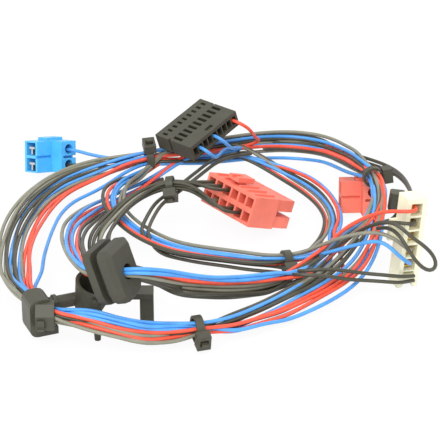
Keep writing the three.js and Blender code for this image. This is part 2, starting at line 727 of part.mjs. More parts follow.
// Grommet. Local Z is the wire direction, Y is up, the groove is near the thin flange.
function grommet() {
  const g = GROMMET;
  const total = g.thin_flange + g.groove_width + g.thick_flange;
  const outline = lobedOutline(g.width, g.height, g.corner, g.foot_flat);
  const [waistWidth, waistHeight] = [g.width - 2 * g.groove_depth, g.height - 2 * g.groove_depth];
  const waist = lobedOutline(waistWidth, waistHeight, g.corner, g.foot_flat);
  const thin = prism(outline, g.thin_flange, -total / 2);
  const neck = prism(waist, total - g.bevel, -total / 2);
  const thick = prism(outline, g.thick_flange - g.bevel, total / 2 - g.thick_flange);
  const nose = bevelledNose(g, total / 2 - g.bevel - CLEARANCE);
  const hole = cylinder(BUNDLE_RADIUS.branch + CLEARANCE, total + 2 * CUT, 12).rotateX(Math.PI / 2);
  const body = cut(join([thin, neck, thick, nose]), [solidOf(hole)]);
  const axis = new THREE.Vector3(...GROMMET_PLACE.axis).normalize();
  const up = new THREE.Vector3(...GROMMET_PLACE.up);
  up.addScaledVector(axis, -up.dot(axis)).normalize();
  const side = new THREE.Vector3().crossVectors(up, axis);
  const matrix = new THREE.Matrix4().makeBasis(side, up, axis).setPosition(...GROMMET_PLACE.middle);
  return mesh("grommet", geometryOf(body), "black_rubber", matrix);
}

// The sloping rim round the outer face of the thick flange.
function bevelledNose(g, bottom) {
  const outline = lobedOutline(g.width, g.height, g.corner, g.foot_flat);
  const shape = new THREE.Shape(outline.map(([x, y]) => new THREE.Vector2(x, y)));
  const geometry = new THREE.ExtrudeGeometry(shape, {
    depth: CLEARANCE,
    bevelEnabled: true,
    bevelThickness: g.bevel,
    bevelSize: g.bevel,
    bevelOffset: -g.bevel,
    bevelSegments: 1,
  });
  return solidOf(geometry.translate(0, 0, bottom));
}

// Clip band. Local Z is the bundle direction through it, Y is up from its lowest face. The mouth is
// open on the right, between the band's upper half and the hook under it.
function clipBand() {
  const c = CLIP;
  const outline = lobedOutline(c.width, c.height, c.corner, c.foot_flat).map(([x, y]) => [x, y + c.height / 2]);
  const band = prism(outline, c.length, -c.length / 2);
  const right = c.width / 2;
  const hook = block([0, 0, c.length / 2 - c.lip.length], [right + c.hook_reach, c.mouth.bottom, c.length / 2]);
  const lip = block(
    [right + c.hook_reach - c.lip.width, 0, c.length / 2 - c.lip.length],
    [right + c.hook_reach, c.lip.height, c.length / 2],
  );
  const mouth = block([0, c.mouth.bottom, -c.length / 2 - CUT], [right + CUT, c.mouth.top, c.length / 2 + CUT]);
  return join([cut(band, [mouth]), hook, lip]);
}

// The latch block on the front of the band, with its top edges sloped.
function latchBlock() {
  const l = LATCH_BLOCK;
  const { right, back } = LATCH_PLACE;
  const front = back - l.depth;
  const outline = [
    [front, l.bottom], [back, l.bottom], [back, l.top], [front + 2 * l.chamfer, l.top],
    [front, l.top - 2 * l.chamfer],
  ];
  const solid = prism(outline, l.width);
  // The outline is in Y and Z, and the block runs from its right side to the left.
  const matrix = new THREE.Matrix4().set(0, 0, 1, right - l.width, 1, 0, 0, 0, 0, 1, 0, 0, 0, 0, 0, 1);
  return solid.transform(matrix.toArray());
}

function clip() {
  const [x, y] = CLIP_PLACE.middle;
  const axis = new THREE.Vector3(...CLIP_PLACE.axis, 0).normalize();
  const up = new THREE.Vector3(0, 0, 1);
  const side = new THREE.Vector3().crossVectors(up, axis);
  const matrix = new THREE.Matrix4().makeBasis(side, up, axis).setPosition(x, y, CLIP.lift);
  const body = clipBand().transform(matrix.toArray()).add(latchBlock());
  return mesh("clip_housing", geometryOf(cut(body, [channel()])), "black_nylon");
}

// The way of the bundle through the clip, a clearance wider than the bundle and open at both ends.
function channel() {
  const [first, second] = ROUTES.clip;
  const [beforeLast, last] = ROUTES.clip.slice(-2);
  const beyond = (end, inner) => end.map((v, i) => v + (v - inner[i]) * CUT);
  const route = [beyond(first, second), ...ROUTES.clip, beyond(last, beforeLast)];
  return solidOf(tube(route, BUNDLE_RADIUS.clip + CLEARANCE, BUNDLE_RADIUS.clip / 2, 12));
}

// The closing pawl on the front of the latch block, with a lip along its lower edge.
function clipPawl() {
  const x = LATCH_PLACE.right - LATCH_BLOCK.width / 2 - PAWL.width;
  const y = LATCH_PLACE.back - LATCH_BLOCK.depth - CLEARANCE;
  const z = LATCH_BLOCK.bottom + PAWL.lip;
  const pad = block([x, y - PAWL.thickness, z], [x + PAWL.width, y, z + PAWL.height]);
  const lip = block([x, y - PAWL.thickness - PAWL.lip, z], [x + PAWL.width, y - PAWL.thickness / 2, z + PAWL.lip]);
  return mesh("clip_pawl", geometryOf(pad.add(lip)), "black_nylon");
}

// Bracket: a tilted cup with a leg at its front, an arm to the clip, and a hollow post with a flange.
function bracket() {
  const b = BRACKET;
  const [px, py] = POST_PLACE;
  const [halfWidth, halfDepth] = [b.post.width / 2, b.post.depth / 2];
  const post = block([px - halfWidth, py - halfDepth, 0], [px + halfWidth, py + halfDepth, b.post.top]);
  const hollow = block(
    [px - halfWidth + b.post.wall, py - halfDepth + b.post.wall, -CUT],
    [px + halfWidth - b.post.wall, py + halfDepth - b.post.wall, b.post.hollow],
  );
  const f = b.flange;
  const right = px + halfWidth;
  const flange = block(
    [right - f.width, py - f.depth / 2, b.post.top - CLEARANCE],
    [right, py + f.depth / 2, b.post.top + f.thickness],
  );
  const [cx, cy] = CUP_PLACE.rim;
  const webBack = cy + b.cup.bottom_radius;
  const web = block([cx, webBack, b.web.bottom], [right, webBack + b.web.thickness, b.web.top]);
  const { shell, inside } = cup();
  const pieces = [shell, bracketLeg(), post, flange, web, ...bracketArm()];
  return mesh("bracket", geometryOf(cut(join(pieces), [hollow, inside])), "black_nylon");
}

// The cup narrows towards its floor; its inside is cut after everything that reaches its wall.
function cup() {
  const c = BRACKET.cup;
  const up = new THREE.Vector3(...CUP_PLACE.axis).normalize();
  const turn = new THREE.Quaternion().setFromUnitVectors(new THREE.Vector3(0, 1, 0), up);
  const cone = (top, bottom, depth, above) =>
    solidOf(
      new THREE.CylinderGeometry(top, bottom, depth + above, 24)
        .translate(0, (above - depth) / 2, 0)
        .applyQuaternion(turn)
        .translate(...CUP_PLACE.rim),
    );
  return {
    shell: cone(c.top_radius, c.bottom_radius, c.depth, 0),
    inside: cone(c.top_radius - c.wall, c.bottom_radius - c.wall, c.depth - c.floor, CUT),
  };
}

function bracketLeg() {
  const l = BRACKET.leg;
  const leg = new THREE.CylinderGeometry(l.top_radius, l.tip_radius, l.height, 12).rotateX(Math.PI / 2);
  return solidOf(leg.translate(...LEG_PLACE, l.height / 2));
}

// The arm runs from the clip's side face to the cup wall, with a collar near the clip.
function bracketArm() {
  const { arm, collar } = BRACKET;
  const axis = new THREE.Vector3(...CLIP_PLACE.axis, 0).normalize();
  const side = new THREE.Vector3(-axis.y, axis.x, 0);
  const start = new THREE.Vector3(...CLIP_PLACE.middle, arm.height);
  start.addScaledVector(side, CLIP.width / 2 + CLEARANCE);
  const turn = new THREE.Quaternion().setFromUnitVectors(new THREE.Vector3(0, 1, 0), side);
  const along = (radius, length, from) =>
    solidOf(
      cylinder(radius, length, 12)
        .translate(0, from + length / 2, 0)
        .applyQuaternion(turn)
        .translate(start.x, start.y, start.z),
    );
  return [along(arm.radius, arm.reach, 0), along(collar.radius, collar.width, collar.offset)];
}

function spliceBlock() {
  const s = SPLICE;
  const [w, d, c] = [s.width / 2, s.depth / 2, s.chamfer];
  const outline = [
    [-w, -d + c], [-w + c, -d], [w - c, -d], [w, -d + c],
    [w, d - c], [w - c, d], [-w + c, d], [-w, d - c],
  ];
  const matrix = new THREE.Matrix4().makeRotationY(0.12).setPosition(...SPLICE_PLACE);
  return mesh("splice_block", geometryOf(prism(outline, s.height, -s.height / 2)), "black_nylon", matrix);
}

const harness = new THREE.Group();
harness.position.copy(FOOTPRINT_SHIFT);
harness.add(
  ...bundles(),
  ...wires(),
  ...ties(),
  twoWayConnector("blue", "sky_blue"),
  twoWayConnector("red", "signal_red"),
  nineWayConnector(),
  twelveWayConnector(),
  fiveWayConnector(),
  grommet(),
  clip(),
  clipPawl(),
  bracket(),
  spliceBlock(),
);

export default harness;
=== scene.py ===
# %% [markdown]
# # A loose wiring harness
#
# The object is a coil of single wires, tied into bundles, with moulded connectors on their ends.
# The frame holds the rigid pieces. The bundles in it are plain tubes, so this scene lays every
# wire on its own along the same routes and gives each moulding its finish.

import json
import math

import bpy
from mathutils import Matrix, Vector


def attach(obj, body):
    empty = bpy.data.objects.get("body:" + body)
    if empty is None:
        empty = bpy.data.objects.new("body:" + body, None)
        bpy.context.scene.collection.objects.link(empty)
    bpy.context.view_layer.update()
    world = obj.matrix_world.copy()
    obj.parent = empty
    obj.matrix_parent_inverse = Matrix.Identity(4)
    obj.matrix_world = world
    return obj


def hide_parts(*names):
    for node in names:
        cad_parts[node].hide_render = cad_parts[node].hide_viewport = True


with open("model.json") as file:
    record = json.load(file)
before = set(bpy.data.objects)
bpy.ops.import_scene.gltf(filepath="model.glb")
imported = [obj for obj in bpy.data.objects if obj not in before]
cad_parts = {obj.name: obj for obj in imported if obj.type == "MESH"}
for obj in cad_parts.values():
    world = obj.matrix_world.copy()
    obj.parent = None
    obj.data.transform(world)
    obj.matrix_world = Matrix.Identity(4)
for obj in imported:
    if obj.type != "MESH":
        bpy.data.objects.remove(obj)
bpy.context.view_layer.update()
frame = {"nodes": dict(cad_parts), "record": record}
nodes = frame["nodes"]
bpy.ops.object.select_all(action="DESELECT")
print("CAD nodes:", len(nodes))

# %% [markdown]
# The camera stands in front of the coil and looks down at it from a low angle, through a long lens,
# as for a catalogue picture. The routes are written from the point that it looks at, and
# SHIFT takes them from there to the middle of the footprint.

# %% Camera
SHIFT = Vector((0.0005, 0.0255, 0.0))
CAMERA_DISTANCE = 0.7
CAMERA_ELEVATION = math.radians(26)
SENSOR = 36.0
FOCAL_PIXELS = 1960
PICTURE_WIDTH = 440
LENS = FOCAL_PIXELS / PICTURE_WIDTH * SENSOR

camera_data = bpy.data.cameras.new("camera")
camera_data.sensor_width = SENSOR
camera_data.lens = LENS
camera_data.clip_start = 0.01
camera = bpy.data.objects.new("camera", camera_data)
bpy.context.scene.collection.objects.link(camera)
camera.location = SHIFT + CAMERA_DISTANCE * Vector(
    (0, -math.cos(CAMERA_ELEVATION), math.sin(CAMERA_ELEVATION))
)
camera.rotation_euler = (math.pi / 2 - CAMERA_ELEVATION, 0, 0)
bpy.context.scene.camera = camera
print("Camera at", tuple(round(x, 4) for x in camera.location))

# %% [markdown]
# A harness is drawn as routes: the middle line of each bundle, from tie to tie, and the line of
# each lead that leaves a bundle for a connector. These points are those of the CAD model, in metres.

# %% Routes of the bundles
ROUTES = {
    "left": [
        (-0.0595, -0.0797, 0.0101), (-0.0616, -0.0752, 0.0098), (-0.0644, -0.069, 0.0094),
        (-0.0674, -0.054, 0.008), (-0.0688, -0.034, 0.007), (-0.0676, -0.014, 0.0066),
        (-0.0634, 0.0036, 0.0066), (-0.056, 0.016, 0.0072), (-0.045, 0.0224, 0.009),
        (-0.034, 0.0254, 0.0112), (-0.0266, 0.0269, 0.0124),
    ],
    "back": [
        (-0.0258, 0.0271, 0.0124), (-0.015, 0.0292, 0.0126), (-0.002, 0.0322, 0.0126),
        (0.0074, 0.0356, 0.0124), (0.016, 0.04, 0.0114), (0.0264, 0.0426, 0.0104),
        (0.0364, 0.039, 0.0106), (0.0444, 0.023, 0.0142), (0.0504, 0.0054, 0.0178),
        (0.0529, 0.0, 0.0183),
    ],
    "right": [
        (0.0533, -0.0012, 0.0184), (0.0539, -0.0044, 0.0187), (0.0544, -0.012, 0.0187),
        (0.0545, -0.0202, 0.0173), (0.053, -0.0268, 0.0148), (0.051, -0.031, 0.0128),
    ],
    "fan": [
        (0.0508, -0.0314, 0.0127), (0.0474, -0.037, 0.0106), (0.0418, -0.0464, 0.0082),
        (0.0346, -0.0564, 0.007), (0.0261, -0.0655, 0.0064), (0.0177, -0.0736, 0.0059),
        (0.0096, -0.0804, 0.0056), (0.001, -0.0864, 0.0054), (-0.0048, -0.0888, 0.0054),
    ],
    "front": [
        (-0.0052, -0.0889, 0.0054), (-0.016, -0.092, 0.0056), (-0.024, -0.094, 0.0066),
        (-0.031, -0.0942, 0.0084), (-0.038, -0.0928, 0.01), (-0.0454, -0.0897, 0.0099),
        (-0.0505, -0.0888, 0.0097),
    ],
    "clip": [
        (-0.0511, -0.0887, 0.0097), (-0.0542, -0.0876, 0.0098), (-0.0565, -0.0854, 0.0099),
        (-0.0579, -0.083, 0.01), (-0.0593, -0.0801, 0.0101),
    ],
    "inner": [
        (0.014, 0.0362, 0.0046), (0.0204, 0.032, 0.0048), (0.0266, 0.0254, 0.0052),
        (0.034, 0.0132, 0.0056), (0.0386, -0.002, 0.006), (0.0394, -0.014, 0.006),
        (0.0362, -0.028, 0.0062), (0.0296, -0.0404, 0.007), (0.0226, -0.046, 0.0076),
        (0.014, -0.0466, 0.008), (0.0034, -0.0436, 0.008), (-0.0082, -0.0404, 0.008),
        (-0.0186, -0.0356, 0.0082), (-0.0278, -0.0266, 0.0086), (-0.0348, -0.015, 0.009),
        (-0.038, -0.0026, 0.0092), (-0.0362, 0.0094, 0.009), (-0.0326, 0.0162, 0.0086),
        (-0.0296, 0.0204, 0.0079),
    ],
    "branch_left": [
        (-0.0337, -0.0875, 0.0244), (-0.0384, -0.0851, 0.0226), (-0.0426, -0.0804, 0.022),
        (-0.0454, -0.071, 0.021), (-0.0476, -0.059, 0.0186), (-0.049, -0.045, 0.0154),
        (-0.0488, -0.026, 0.011), (-0.0444, -0.006, 0.0064), (-0.0378, 0.01, 0.0028),
        (-0.0296, 0.02, 0.0028), (-0.0216, 0.0256, 0.005),
    ],
    "branch_right": [
        (-0.0322, -0.0883, 0.0249), (-0.0274, -0.0908, 0.0266), (-0.022, -0.091, 0.026),
        (-0.0146, -0.086, 0.0214), (-0.0062, -0.079, 0.0164), (0.0034, -0.072, 0.0124),
        (0.0124, -0.0658, 0.0098), (0.0186, -0.062, 0.0089),
    ],
    "socket": [
        (-0.0216, -0.0626, 0.01), (-0.028, -0.0596, 0.0094), (-0.0346, -0.055, 0.0094),
        (-0.0396, -0.046, 0.0096), (-0.0406, -0.035, 0.0108), (-0.036, -0.0226, 0.0128),
        (-0.03, -0.0114, 0.0139), (-0.023, -0.0056, 0.0154), (-0.014, -0.006, 0.017),
        (-0.008, -0.0075, 0.0162), (-0.0018, -0.0075, 0.0145),
    ],
}
print("Bundles:", ", ".join(ROUTES))

# %% [markdown]
# Some leads are written from the bundle to the connector, the others from the connector to the
# bundle. Where a wire runs the other way, its points are taken in reverse.

# %% Lines of the leads
WIRES = {
    "lead_two_way_blue_upper": [
        (-0.0577, 0.0367, 0.0113), (-0.056, 0.035, 0.0119), (-0.0536, 0.0327, 0.0128),
        (-0.0486, 0.0304, 0.0122), (-0.04, 0.0288, 0.0112),
    ],
    "lead_two_way_blue_lower": [
        (-0.0577, 0.0348, 0.0058), (-0.056, 0.0331, 0.0064), (-0.0534, 0.031, 0.0076),
        (-0.0484, 0.0296, 0.008), (-0.0424, 0.0274, 0.0084),
    ],
    "lead_nine_way_left": [
        (-0.0082, 0.0144, 0.0224), (-0.0068, 0.013, 0.0225), (-0.0051, 0.0112, 0.0225),
        (-0.003, 0.0108, 0.0204), (-0.0016, 0.015, 0.0176), (0.0002, 0.022, 0.0162),
        (0.002, 0.0284, 0.0154),
    ],
    "lead_nine_way_middle": [
        (-0.0032, 0.0194, 0.0248), (-0.0018, 0.018, 0.02485), (0.0, 0.0161, 0.0249),
        (0.0024, 0.0156, 0.0228), (0.004, 0.0195, 0.0194), (0.0058, 0.0256, 0.0168),
        (0.008, 0.0312, 0.0152),
    ],
    "lead_nine_way_right": [
        (0.0036, 0.0261, 0.0279), (0.005, 0.0247, 0.028), (0.0072, 0.0226, 0.028),
        (0.0102, 0.023, 0.026), (0.012, 0.0275, 0.0215), (0.0136, 0.033, 0.0172),
        (0.015, 0.0358, 0.015),
    ],
    "lead_five_way_1": [
        (0.0358, -0.0456, 0.013), (0.041, -0.0454, 0.0186), (0.049, -0.0476, 0.0246),
        (0.0554, -0.052, 0.0286), (0.0604, -0.0554, 0.03), (0.0639, -0.0549, 0.0298),
        (0.0646, -0.0522, 0.0294), (0.0638, -0.0496, 0.0293),
    ],
    "lead_five_way_2": [
        (0.0462, -0.0404, 0.0152), (0.0494, -0.0446, 0.0194), (0.0544, -0.0506, 0.0238),
        (0.0596, -0.0552, 0.0258), (0.0635, -0.0552, 0.0252), (0.0642, -0.0524, 0.0244),
        (0.0634, -0.0497, 0.0243),
    ],
    "lead_five_way_4": [
        (0.0267, -0.0455, 0.01), (0.033, -0.0456, 0.0126), (0.04, -0.0484, 0.017),
        (0.0464, -0.0506, 0.0198), (0.0524, -0.0528, 0.0212), (0.058, -0.0556, 0.0198),
        (0.0622, -0.056, 0.0159), (0.0636, -0.0534, 0.0146), (0.0626, -0.0499, 0.0143),
    ],
    "lead_five_way_5": [
        (0.0267, -0.0469, 0.0086), (0.034, -0.0476, 0.0106), (0.0416, -0.0496, 0.014),
        (0.0488, -0.0526, 0.0176), (0.0524, -0.0544, 0.019), (0.055, -0.0564, 0.0184),
        (0.0588, -0.0582, 0.015), (0.0618, -0.057, 0.0122), (0.0632, -0.0538, 0.0098),
        (0.0622, -0.05, 0.0094),
    ],
    "lead_five_way_foot_upper": [
        (0.0264, -0.0598, 0.0105), (0.034, -0.0604, 0.0116), (0.0412, -0.0576, 0.0096),
        (0.0486, -0.0564, 0.0078), (0.055, -0.057, 0.0076), (0.0594, -0.0559, 0.0064),
        (0.0624, -0.0536, 0.0054), (0.0644, -0.0523, 0.0049),
    ],
    "lead_five_way_foot_lower": [
        (0.0258, -0.0634, 0.0111), (0.034, -0.0632, 0.0107), (0.0414, -0.0592, 0.0072),
        (0.0488, -0.0574, 0.0058), (0.0554, -0.0576, 0.0054), (0.0594, -0.0564, 0.0044),
        (0.0624, -0.0538, 0.0036), (0.0644, -0.0524, 0.0033),
    ],
    "jumper_loop": [
        (0.0504, -0.052, 0.0238), (0.0538, -0.057, 0.0272), (0.058, -0.061, 0.0278),
        (0.0612, -0.0622, 0.0246), (0.0662, -0.062, 0.021), (0.0698, -0.0624, 0.017),
        (0.0709, -0.0626, 0.014), (0.0696, -0.063, 0.012), (0.0672, -0.063, 0.012),
        (0.0646, -0.063, 0.0144), (0.0624, -0.0628, 0.0174), (0.06, -0.0614, 0.0214),
        (0.057, -0.057, 0.024), (0.0536, -0.0528, 0.0232), (0.0518, -0.0506, 0.0216),
    ],
    "back_lead_upper": [
        (0.0446, 0.0342, 0.012), (0.0528, 0.0274, 0.0122), (0.06, 0.019, 0.013),
        (0.0644, 0.008, 0.0144), (0.0662, -0.006, 0.0162), (0.066, -0.018, 0.018),
        (0.064, -0.03, 0.0188), (0.0616, -0.036, 0.0184), (0.0593, -0.0398, 0.018),
    ],
    "back_lead_lower": [
        (0.0452, 0.0346, 0.0099), (0.0534, 0.0278, 0.01), (0.0606, 0.0194, 0.0109),
        (0.065, 0.0082, 0.0123), (0.0668, -0.006, 0.0141), (0.0666, -0.0182, 0.0159),
        (0.0644, -0.0302, 0.0166), (0.0618, -0.036, 0.0162), (0.0591, -0.0399, 0.0158),
    ],
    "lead_two_way_red_upper": [
        (0.0539, 0.0013, 0.0109), (0.0541, -0.0011, 0.0114), (0.0543, -0.004, 0.012),
        (0.0546, -0.009, 0.0134), (0.0547, -0.014, 0.0149),
    ],
    "lead_two_way_red_lower": [
        (0.0539, 0.0002, 0.0052), (0.0541, -0.0023, 0.0057), (0.0544, -0.006, 0.0064),
        (0.055, -0.013, 0.0082), (0.0546, -0.02, 0.0106), (0.0536, -0.025, 0.012),
    ],
    "splice_lead": [
        (0.0612, -0.0208, 0.0129), (0.0604, -0.0216, 0.0116), (0.058, -0.0246, 0.0114),
        (0.0552, -0.028, 0.0122),
    ],
}

WIRE_DIAMETER = 0.0013
print("Leads:", len(WIRES), "of", 1000 * WIRE_DIAMETER, "mm wire")

# %% [markdown]
# Listed points need a smooth line through them. A centripetal Catmull-Rom curve passes through
# every point and makes no loops between uneven ones, which is why it suits such routes.

# %% A smooth line through points
STEP = 0.0015


def smooth_line(points, step=STEP):
    """Points about one step apart on a centripetal Catmull-Rom curve."""
    points = [Vector(p) for p in points]
    padded = [2 * points[0] - points[1]] + points + [2 * points[-1] - points[-2]]
    line = [points[0].copy()]
    for a, b, c, d in zip(padded, padded[1:], padded[2:], padded[3:]):
        t1 = math.sqrt((b - a).length)
        t2 = t1 + math.sqrt((c - b).length)
        t3 = t2 + math.sqrt((d - c).length)
        count = max(1, round((c - b).length / step))
        for k in range(1, count + 1):
            t = t1 + (t2 - t1) * k / count
            ab = a.lerp(b, t / t1)
            bc = b.lerp(c, (t - t1) / (t2 - t1))
            cd = c.lerp(d, (t - t2) / (t3 - t2))
            abc = ab.lerp(bc, t / t2)
            bcd = bc.lerp(cd, (t - t1) / (t3 - t1))
            line.append(abc.lerp(bcd, (t - t1) / (t2 - t1)))
    return line


def relaxed(line, passes):
    """Moves every inner point towards the mean of its neighbours, as often as `passes` says."""
    for _ in range(passes):
        inner = [(a + 2 * b + c) / 4 for a, b, c in zip(line, line[1:], line[2:])]
        line = [line[0]] + inner + [line[-1]]
    return line


def length_of(line):
    return sum((b - a).length for a, b in zip(line, line[1:]))


middle_lines = {name: smooth_line([Vector(p) + SHIFT for p in pts]) for name, pts in ROUTES.items()}
print({name: round(length_of(line), 3) for name, line in middle_lines.items()})

# %% [markdown]
# Inside a tie the wires lie packed like straws in a box. Between ties they spring apart and lie
# almost side by side. A section lists its wires from the left to the right, seen along the route,
# which for the outer coil is from its outside to its inside. `loose` says how far they have sprung
# apart, as pairs of a share of the route's length and a share of the whole spread. `pitch` is the
# distance from one wire of the row to the next, in metres. `columns` says how many lie on top of
# each other, and `tilt` turns the row, in degrees at the start and at the end.

# %% Sections of the outer coil
LEFT = [
    "loop_grey_a", "loop_grey_b", "loop_grey_c", "back_black_upper", "loop_blue_a", "loop_black_a",
    "back_black_lower", "loop_blue_b", "coil_grey", "loop_red_a", "loop_red_b", "coil_red", "coil_blue",
]
FRONT = [
    "loop_grey_a", "loop_grey_b", "loop_black_a", "loop_red_a", "arc_black", "loop_grey_c",
    "socket_black_c", "loop_red_b", "arc_red", "loop_blue_b", "blue_housing_blue", "loop_blue_a",
    "arc_blue",
]
SECTIONS = {
    "left": {
        "route": "left", "pitch": 0.00102, "tilt": (5, -38), "columns": 1,
        "loose": [(0, 0), (0.22, 0.9), (0.5, 1), (0.8, 0.8), (1, 0)], "wires": LEFT,
    },
    "clip_left": {
        "route": "clip", "pitch": 0.0011, "tilt": (0, 0), "columns": 1,
        "loose": [(0, 0), (1, 0)], "wires": LEFT,
    },
    "clip_front": {
        "route": "clip", "pitch": 0.0011, "tilt": (0, 0), "columns": 1,
        "loose": [(0, 0), (1, 0)], "wires": FRONT,
    },
    "front": {
        "route": "front", "pitch": 0.00105, "tilt": (62, 62), "columns": 2,
        "loose": [(0, 0), (0.3, 0.9), (0.75, 0.9), (1, 0)], "wires": FRONT,
    },
    "back": {
        "route": "back", "pitch": 0.0010, "tilt": (-58, -40), "columns": 2,
        "loose": [(0, 0), (0.2, 0.7), (0.55, 1), (0.8, 0.7), (1, 0)],
        "wires": [
            "back_black_upper", "loop_grey_a", "loop_black_a", "loop_blue_a", "loop_red_a",
            "back_black_lower", "coil_grey", "loop_grey_b", "nine_red", "loop_blue_b",
            "nine_blue_left", "loop_red_b", "loop_grey_c", "nine_blue_right", "coil_red",
            "coil_blue", "blue_housing_black", "blue_housing_blue",
        ],
    },
    "right": {
        "route": "right", "pitch": 0.0007, "tilt": (-25, 15), "columns": 2,
        "loose": [(0, 0), (0.5, 0.8), (1, 0.9)],
        "wires": [
            "loop_blue_a", "loop_red_a", "loop_grey_b", "loop_grey_a", "loop_black_a", "branch_red",
            "loop_red_b", "branch_grey", "loop_grey_c", "branch_black", "branch_black_b",
            "loop_blue_b", "blue_housing_blue", "socket_grey", "nine_blue_left",
        ],
    },
    "fan": {
        "route": "fan", "pitch": 0.00085, "tilt": (15, 40), "columns": 1,
        "loose": [(0, 0.6), (0.25, 1), (0.6, 0.85), (0.85, 0.3), (1, 0)],
        "wires": [
            "loop_blue_a", "loop_red_a", "blue_housing_blue", "loop_red_b", "loop_grey_a", "arc_red",
            "loop_blue_b", "arc_blue", "loop_black_a", "loop_grey_b", "socket_black_c", "loop_grey_c",
            "arc_black", "branch_red", "nine_blue_left", "branch_grey", "branch_black_b", "branch_black",
        ],
    },
}
print("Sections of the outer coil:", ", ".join(SECTIONS))

# %% [markdown]
# The inner coil has a tie of its own, so its route is taken in two sections, before the tie and
# after it. `foot` and `under_branch` follow a bundle's route below that bundle, at the height
# against it that DROP gives. STRAYS holds single wires that hang out of the row.

# %% Sections of the inner coil and of the branches
TIE_ON_INNER = 0.455  # share of the inner coil's length at which its tie sits
INNER_SECTIONS = {
    "arc": {
        "route": "inner", "pitch": 0.0012, "tilt": (-40, 30), "columns": 1,
        "loose": [(0, 0.4), (0.15, 1), (0.3, 0.8), (TIE_ON_INNER, 0)],
        "wires": [
            "coil_blue", "arc_red", "arc_black", "arc_blue", "coil_grey", "coil_red",
            "blue_housing_black",
        ],
    },
    "inner": {
        "route": "inner", "pitch": 0.0016, "tilt": (60, -30), "columns": 1,
        "loose": [(TIE_ON_INNER, 0), (0.56, 0.45), (0.75, 1), (0.9, 0.9), (1, 0)],
        "wires": [
            "blue_housing_black", "coil_red", "coil_blue", "inner_blue", "coil_grey", "inner_grey",
        ],
    },
    "foot": {
        "route": "inner", "pitch": 0.0016, "tilt": (60, 0), "columns": 1,
        "loose": [(0, 1), (1, 1)], "wires": ["foot_black_lower", "foot_black_upper"],
    },
    "branch_left": {
        "route": "branch_left", "pitch": 0.00125, "tilt": (0, -30), "columns": 1,
        "loose": [(0, 0), (0.25, 0.8), (0.6, 1), (0.85, 0.6), (1, 0)],
        "wires": [
            "branch_grey", "nine_blue_left", "branch_red", "nine_blue_right", "nine_red",
            "branch_black_b", "branch_black",
        ],
    },
    "branch_right": {
        "route": "branch_right", "pitch": 0.00095, "tilt": (60, 60), "columns": 1,
        "loose": [(0, 0), (0.4, 0.9), (1, 1)],
        "wires": [
            "branch_black", "branch_black_b", "branch_grey", "nine_red", "branch_red",
            "nine_blue_right", "nine_blue_left",
        ],
    },
    "under_branch": {
        "route": "branch_right", "pitch": 0.0011, "tilt": (60, 60), "columns": 2,
        "loose": [(0, 1), (1, 1)],
        "wires": [
            "socket_black_d", "socket_black_a", "socket_black_e", "socket_black_b",
            "socket_black_c", "socket_grey",
        ],
    },
    "socket": {
        "route": "socket", "pitch": 0.0013, "tilt": (20, -20), "columns": 1,
        "loose": [(0, 0.6), (0.3, 1), (0.7, 0.4), (0.82, 0), (1, 0.3)],
        "wires": [
            "socket_black_a", "socket_black_d", "socket_black_b", "socket_grey",
            "socket_black_e", "socket_black_c",
        ],
    },
}
SECTIONS.update(INNER_SECTIONS)
# How far each of these wires strays across its route, in metres.
STRAYS = {
    ("left", "coil_blue"): 0.0035, ("fan", "loop_blue_a"): -0.0015, ("fan", "arc_blue"): 0.0035,
    ("back", "blue_housing_blue"): 0.0012, ("back", "loop_grey_a"): -0.001,
}
DROP = {"under_branch": -0.004, "foot": -0.0035}
print("Sections of the inner coil and the branches:", ", ".join(INNER_SECTIONS))

# %% [markdown]
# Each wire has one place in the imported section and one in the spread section. Round wires pack in a
# hexagonal lattice, of which the places nearest to the middle are taken. They are sorted along the
# direction in which the wires spread, so within a section the wires keep their order.

# %% Packed and spread places
LATTICE_REACH = 4
ROW_HEIGHTS = [0.8 * height for height in (0.0, 0.45, -0.35, 0.2, -0.5)]  # in wire diameters
STACKED_HEIGHT = 0.9  # of a wire that lies on another one, in wire diameters


def packed_section(count):
    """Places of round wires, packed round the one of three middles that needs the least radius."""
    rows = range(-LATTICE_REACH, LATTICE_REACH + 1)
    lattice = [Vector((i + 0.5 * (j % 2), j * math.sqrt(3) / 2)) for i in rows for j in rows]
    centres = [Vector((0, 0)), Vector((0.5, 0)), Vector((0.5, math.sqrt(3) / 6))]

    def nearest(centre):
        return sorted((p - centre for p in lattice), key=lambda p: round(p.length, 6))[:count]

    best = min((nearest(c) for c in centres), key=lambda found: found[-1].length)
    return [p * WIRE_DIAMETER for p in best]


def sorted_places(places, tilt):
    """Sorts packed places along the direction in which the wires of a section spread."""
    angle = math.radians(tilt)
    return sorted(places, key=lambda p: round(p.x * math.cos(angle) + p.y * math.sin(angle), 6))


def spread_section(count, pitch, columns):
    """Places of loose wires in an uneven row, with so many wires on top of each other."""
    rows = (count - 1) // columns
    return [
        Vector((
            (i // columns - rows / 2) * pitch,
            (ROW_HEIGHTS[i % len(ROW_HEIGHTS)] + (i % columns) * STACKED_HEIGHT) * WIRE_DIAMETER,
        ))
        for i in range(count)
    ]


for section in SECTIONS.values():
    count = len(section["wires"])
    middle_tilt = sum(section["tilt"]) / 2
    section["packed"] = sorted_places(packed_section(count), middle_tilt)
    section["spread"] = spread_section(count, section["pitch"], section["columns"])
print({name: len(section["wires"]) for name, section in SECTIONS.items()})

# %% [markdown]
# A wire is written as control points along the middle line of its section. At each one its place
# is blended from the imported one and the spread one, and a slow wave keeps loose wires from running
# like ruled lines. Runs through several sections are then joined into one line.

# %% One wire's way through a section
CONTROL_STEP = 0.009
JOIN_DISTANCE = 0.6 * CONTROL_STEP
WANDER = 0.35  # height of the wave, in wire diameters
WAVE_ALONG = 11  # turn of the wave from one end of the section to the other, in radians
WAVE_ACROSS = 2.4  # turn of the wave from one wire to the next, in radians


